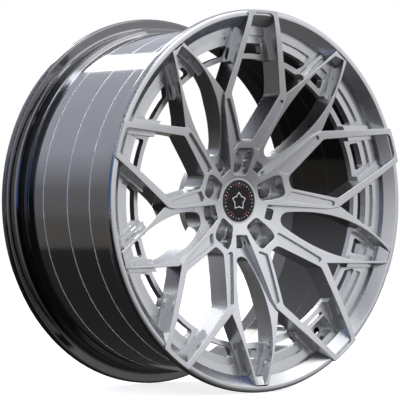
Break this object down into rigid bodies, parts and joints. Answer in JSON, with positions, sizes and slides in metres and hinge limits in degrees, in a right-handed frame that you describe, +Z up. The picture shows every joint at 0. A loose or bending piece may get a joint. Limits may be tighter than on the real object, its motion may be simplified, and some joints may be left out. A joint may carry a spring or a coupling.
{
  "type": "car wheel rim",
  "caption": "Forged modular car wheel rim: split Y-spoke centre on a slotted ring, stepped silver lip, dark straight barrel, cone lug seats and a snap-in centre cap.",
  "frame": {"origin": "centre of the mounting pad, where the wheel meets the hub", "axes": "+Y along the wheel's axis towards the car, -Y towards the street side, +Z up through one lug hole"},
  "size_m": [0.5474, 0.2635, 0.5474],
  "materials": {
    "barrel": "dark gloss, turned",
    "lip": "satin silver on the street side, dark gloss on the tyre side",
    "spokes": "satin silver",
    "lug_seats": "turned",
    "hub_ring": "matte",
    "cap_body": "satin",
    "cap_disc": "satin",
    "emblem": "polished",
    "spring_wire": "drawn wire",
    "screws": "zinc plated",
    "washers": "zinc plated",
    "seal": "matte"
  },
  "bodies": {
    "wheel": {"inner_barrel": "barrel", "outer_lip": "lip", "spoke_centre": "spokes", "lug_seat_1": "lug_seats", "lug_seat_2": "lug_seats", "lug_seat_3": "lug_seats", "lug_seat_4": "lug_seats", "lug_seat_5": "lug_seats", "hub_ring": "hub_ring", "assembly_screws": "screws", "screw_washers": "washers", "rim_seal": "seal"},
    "cap": {"cap_body": "cap_body", "cap_disc": "cap_disc", "cap_emblem": "emblem", "cap_clip_ring": "spring_wire"}
  },
  "joints": [
    {"name": "cap_pull", "type": "slide", "parent": "wheel", "child": "cap", "axis": [0, -1, 0], "range_m": [0, 0.02]}
  ]
}
